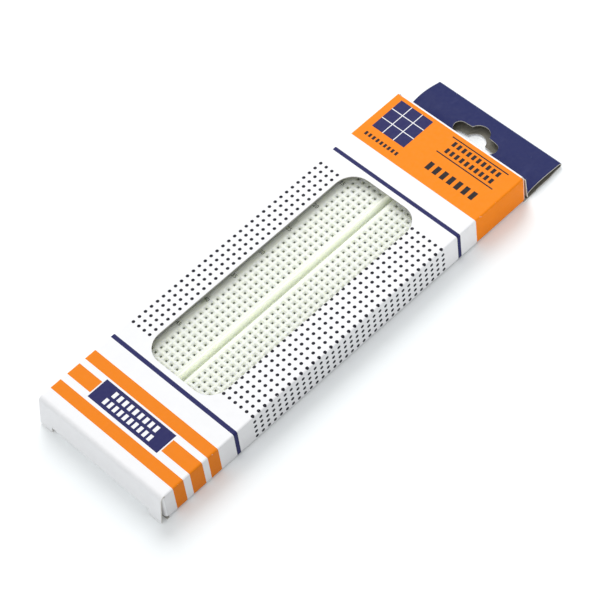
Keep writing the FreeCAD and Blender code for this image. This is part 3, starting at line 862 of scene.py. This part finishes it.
def add_points(block, points):
    """Vertices of the block at (x, y, z) from the board's middle and top, in millimetres."""
    origin = Vector((BOARD_X, BOARD_Y, BOARD_TOP))
    return [block.verts.new((origin + Vector(point)) * MM) for point in points]


def add_hole(block, rings, x, y):
    """One cell of the top with its lead-in funnel and throat."""
    last = add_points(block, [(x + dx, y + dy, 0) for dx, dy in cell_ring()])
    for level, (ring, depth) in enumerate(rings):
        here = add_points(block, [(x + dx, y + dy, depth) for dx, dy in ring])
        for i in range(RING):
            after = (i + 1) % RING
            face = block.faces.new([last[i], last[after], here[after], here[i]])
            # The throat's faces take the second material, which carries painted shade.
            face.material_index = int(level > SLOPE_RINGS)
        last = here


def add_strip(block, line, along_low, along_high):
    """Sweeps a line of (x, z) points along the board."""
    first, second = [add_points(block, [(x, y, z) for x, z in line]) for y in (along_low, along_high)]
    for i in range(len(line) - 1):
        block.faces.new([first[i], first[i + 1], second[i + 1], second[i]])


def top_corner(x, toward, radius):
    """A rounded top edge that ends in a wall at x; toward is the way from the flat to the wall."""
    turns = [math.radians(15 * i) for i in range(7)]
    return [(x - toward * radius * (1 - math.sin(t)), -radius * (1 - math.cos(t))) for t in turns]


def make_terminal_block(plastic, throat):
    block = bmesh.new()
    rings = [(hole_ring(half), depth) for half, depth in HOLE_PROFILE]
    for side in (-1, 1):
        for row in range(ROWS):
            for column in range(COLUMNS):
                x = side * (BANK_START + row * PITCH)
                add_hole(block, rings, x, (column - (COLUMNS - 1) / 2) * PITCH)
    bmesh.ops.remove_doubles(block, verts=block.verts[:], dist=WELD * MM)
    end = (BOARD_HIGH.y - BOARD_LOW.y) / 2
    field = COLUMNS * PITCH / 2
    inner = BANK_START - PITCH / 2
    outer = BANK_START + (ROWS - 0.5) * PITCH
    bottom = BOARD_LOW.z - BOARD_TOP
    floor = GROOVE - GROOVE_CHAMFER
    for side in (-1, 1):
        rim = top_corner(side * GROOVE, -side, GROOVE_RIM)
        wall = [(side * (GROOVE - GROOVE_DRAFT), -GROOVE_DEPTH + GROOVE_CHAMFER),
                (side * floor, -GROOVE_DEPTH)]
        add_strip(block, [(side * inner, 0)] + rim + wall, -end, end)
        edge = top_corner(side * BLOCK_HALF, side, BLOCK_BEVEL)
        add_strip(block, [(side * outer, 0)] + edge + [(side * BLOCK_HALF, bottom)], -end, end)
        for low_y, high_y in ((-end, -field), (field, end)):
            add_strip(block, [(side * inner, 0), (side * outer, 0)], low_y, high_y)
    add_strip(block, [(-floor, -GROOVE_DEPTH), (floor, -GROOVE_DEPTH)], -end, end)
    add_strip(block, [(-BLOCK_HALF, bottom), (BLOCK_HALF, bottom)], -end, end)
    right = [(BLOCK_HALF, bottom), (BLOCK_HALF, -BLOCK_BEVEL), (BLOCK_HALF - BLOCK_BEVEL, 0),
             (GROOVE + GROOVE_RIM, 0), (GROOVE, -GROOVE_RIM), (floor, -GROOVE_DEPTH)]
    profile = right + [(-x, z) for x, z in reversed(right)]
    for y in (-end, end):
        block.faces.new(add_points(block, [(x, y, z) for x, z in profile]))
    bmesh.ops.recalc_face_normals(block, faces=block.faces[:])
    piece = make_piece("terminal_block_moulding", block, [plastic, throat], sharp=50)
    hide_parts("terminal_block")
    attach(piece, "breadboard")


# Column numbers: the height of a figure and the thickness of its ink.
FIGURE_SIZE = 2.1
INK_THICKNESS = 0.004


def make_column_numbers(ink):
    """Every fifth column's number, printed outside the outer row of each bank."""
    numbers = bmesh.new()
    for column in [1] + list(range(5, COLUMNS, 5)):
        curve = bpy.data.curves.new("number", "FONT")
        curve.body = str(column)
        curve.size = FIGURE_SIZE * MM
        curve.align_x = "CENTER"
        curve.align_y = "CENTER"
        curve.resolution_u = 3
        curve.extrude = INK_THICKNESS * MM
        scratch = bpy.data.objects.new("number", curve)
        mesh = bpy.data.meshes.new_from_object(scratch)
        y = BOARD_Y + ((COLUMNS + 1) / 2 - column) * PITCH
        for side in (-1, 1):
            copy = mesh.copy()
            x = BOARD_X + side * (BANK_START + ROWS * PITCH)
            copy.transform(Matrix.Translation(Vector((x, y, BOARD_TOP + INK_THICKNESS)) * MM))
            numbers.from_mesh(copy)
            bpy.data.meshes.remove(copy)
        bpy.data.objects.remove(scratch)
        bpy.data.curves.remove(curve)
        bpy.data.meshes.remove(mesh)
    piece = make_piece("column_numbers", numbers, [ink])
    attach(piece, "breadboard")


# Light scatters in the plastic. The groove's walls also get painted light, an emission that is
# strongest at the top: how far down it reaches, and how strong it is at the top.
SCATTER = 2.6
PAINTED_GROOVE_LIGHT_DEPTH = 2.4
PAINTED_GROOVE_LIGHT = 0.26


def housing_plastic():
    """Ivory ABS with a faint green cast and a fine moulded grain."""
    shader = Shader("housing_plastic", specular=0.45)
    cloud = shader.remap(shader.noise(0.05, 3.0), 0.3, 0.7, 0.96, 1.0)
    base = shader.mix(shader.noise(0.4, 4.0), rgb(238, 243, 228), rgb(242, 246, 233))
    shader.color(shader.tint(base, cloud))
    grain = shader.noise(9.0, 4.0, roughness=0.6)
    shader.bump(grain, 0.012, 0.5)
    shader.rough(shader.remap(shader.noise(1.5, 4.0), 0.3, 0.7, 0.38, 0.5))
    shader.surface.inputs["Subsurface Weight"].default_value = 0.8
    shader.surface.inputs["Subsurface Radius"].default_value = (1.0, 1.0, 0.85)
    shader.surface.inputs["Subsurface Scale"].default_value = SCATTER * MM
    # Painted light: an emission on the groove's walls, strongest at the top.
    groove = shader.between(shader.x, BOARD_X - GROOVE - GROOVE_RIM, BOARD_X + GROOVE)
    painted_light = shader.remap(shader.z, BOARD_TOP - PAINTED_GROOVE_LIGHT_DEPTH, BOARD_TOP, 0.0, PAINTED_GROOVE_LIGHT)
    painted_light = shader.math("MULTIPLY", groove, painted_light)
    shader.surface.inputs["Emission Color"].default_value = rgb(255, 255, 236)
    shader.feed(shader.surface.inputs["Emission Strength"], painted_light)
    return shader.material


def throat_plastic():
    """The same plastic deep in a contact hole, painted darker and darker still further down: painted
    shade for the hole's shadow.
    """
    shader = Shader("throat_plastic", roughness=0.7, specular=0.1)
    shade = shader.remap(shader.noise(1.5, 3.0), 0.3, 0.7, 0.7, 1.0)
    # Painted shade: the throat's walls darken towards the bottom of the hole.
    depth = shader.remap(shader.z, BOARD_TOP - 1.6, BOARD_TOP - 0.5, 0.65, 1.0)
    shader.color(shader.tint(rgb(220, 226, 212), shader.math("MULTIPLY", shade, depth)))
    shader.bump(shader.noise(9.0, 4.0), 0.012, 0.5)
    return shader.material


def number_ink():
    shader = Shader("number_ink", roughness=0.6, specular=0.3)
    wear = shader.remap(shader.noise(6.0, 4.0), 0.35, 0.7, 0.0, 0.5)
    shader.color(shader.mix(wear, rgb(58, 60, 56), rgb(120, 124, 114)))
    shader.bump(shader.noise(8.0), 0.005, 0.4)
    return shader.material


def clip_metal():
    """Nickel-plated spring bronze, brushed along the strip that it was stamped from."""
    shader = Shader("clip_metal", roughness=0.3)
    shader.surface.inputs["Metallic"].default_value = 1.0
    streaks = shader.noise(1.2, 5.0, stretch=(6, 0.6, 6))
    shader.color(shader.mix(streaks, rgb(206, 200, 186), rgb(176, 170, 156)))
    shader.rough(shader.remap(streaks, 0.3, 0.7, 0.24, 0.42))
    shader.bump(streaks, 0.006, 0.5)
    return shader.material


def foam():
    """Closed-cell foam tape: small pale cells with darker walls."""
    shader = Shader("foam", roughness=0.9, specular=0.2)
    cells = shader.tree.nodes.new("ShaderNodeTexVoronoi")
    shader.feed(cells.inputs["Vector"], shader.place)
    cells.inputs["Scale"].default_value = 3.5
    edge = shader.remap(cells.outputs["Distance"], 0.0, 0.6, 1.0, 0.82)
    shader.color(shader.tint(rgb(232, 229, 216), edge))
    shader.bump(cells.outputs["Distance"], 0.08, 0.8)
    return shader.material


def liner_paper():
    """Waxed release paper, smooth and slightly yellow, with faint flow lines."""
    shader = Shader("liner_paper", roughness=0.35, specular=0.5)
    flow = shader.noise(0.5, 5.0, stretch=(1, 0.15, 1))
    shader.color(shader.mix(flow, rgb(236, 224, 180), rgb(246, 238, 204)))
    shader.bump(flow, 0.02, 0.5)
    shader.rough(shader.remap(flow, 0.3, 0.7, 0.28, 0.42))
    return shader.material


def dress(node_prefixes, material):
    """Gives CAD nodes that stay in view their finish."""
    for name, piece in frame["nodes"].items():
        if name.startswith(node_prefixes):
            piece.data.materials.clear()
            piece.data.materials.append(material)


# ---------------------------------------------------------------- camera, floor and light

def make_camera():
    """A long lens looking down the carton from its near right corner."""
    data = bpy.data.cameras.new("camera")
    data.sensor_width = 36.0
    data.lens = 154.93
    data.clip_start = 0.05
    data.clip_end = 20
    camera = bpy.data.objects.new("camera", data)
    right = Vector((0.7057, 0.7026, -0.0914)).normalized()
    forward = Vector((-0.4674, 0.3648, -0.8053)).normalized()
    up = right.cross(forward).normalized()
    place = Vector((397.4, NEAR_EDGE - 222.1, HEIGHT + 671.6)) * MM
    basis = Matrix((right, up, -forward)).transposed()
    camera.matrix_world = Matrix.Translation(place) @ basis.to_4x4()
    bpy.context.scene.collection.objects.link(camera)
    bpy.context.scene.camera = camera


# The floor lies this far below the carton, so that the two never share a plane.
FLOOR_GAP = 0.02


def make_floor():
    """A plain pale floor that catches the soft shadow."""
    shader = Shader("floor", roughness=0.7, specular=0.1)
    shader.color(shader.mix(shader.noise(0.01, 2.0), (0.90, 0.93, 0.935, 1), (0.92, 0.95, 0.955, 1)))
    shader.surface.inputs["Emission Color"].default_value = (1, 1, 1, 1)
    shader.surface.inputs["Emission Strength"].default_value = 0.10
    reach = 3.0
    sheet = bmesh.new()
    corners = ((-reach, -reach), (reach, -reach), (reach, reach), (-reach, reach))
    sheet.faces.new([sheet.verts.new((x, y, 0)) for x, y in corners])
    floor = make_piece("floor", sheet, [shader.material])
    floor.location.z = -FLOOR_GAP * MM


def add_area(name, place, size, power):
    """A round soft light that faces the carton."""
    data = bpy.data.lights.new(name, "AREA")
    data.shape = "DISK"
    data.size = size
    data.energy = power
    light = bpy.data.objects.new(name, data)
    light.location = place
    light.rotation_mode = "QUATERNION"
    light.rotation_quaternion = (-Vector(place)).to_track_quat("-Z", "Y")
    bpy.context.scene.collection.objects.link(light)


def make_light():
    world = bpy.data.worlds.new("world")
    world.use_nodes = True
    world.node_tree.nodes["Background"].inputs["Color"].default_value = (0.97, 0.98, 1.0, 1)
    world.node_tree.nodes["Background"].inputs["Strength"].default_value = 0.50
    bpy.context.scene.world = world
    add_area("key", (-0.85, 0.75, 1.15), 1.2, 18.5)
    add_area("near", (-0.1, -0.95, 1.2), 1.2, 4.2)
    add_area("far_side", (0.30, 0.34, 0.16), 0.2, 0.25)
    bpy.context.scene.view_settings.view_transform = "Standard"


# ---------------------------------------------------------------- the whole scene

make_camera()
make_floor()
make_light()
make_sleeve()
make_near_closure()
make_near_tuck()
make_hang_tab()
make_far_closure()
for flap_end in ("near", "far"):
    for flap_hand in ("left", "right"):
        make_dust_flap(flap_end, flap_hand)
HOUSING = housing_plastic()
make_terminal_block(HOUSING, throat_plastic())
make_column_numbers(number_ink())
dress(("bus_strip",), HOUSING)
dress(("terminal_clips", "rail_clip"), clip_metal())
dress(("adhesive_foam_pad",), foam())
dress(("release_liner",), liner_paper())
dress(("carton_glue_flap",), INSIDE)
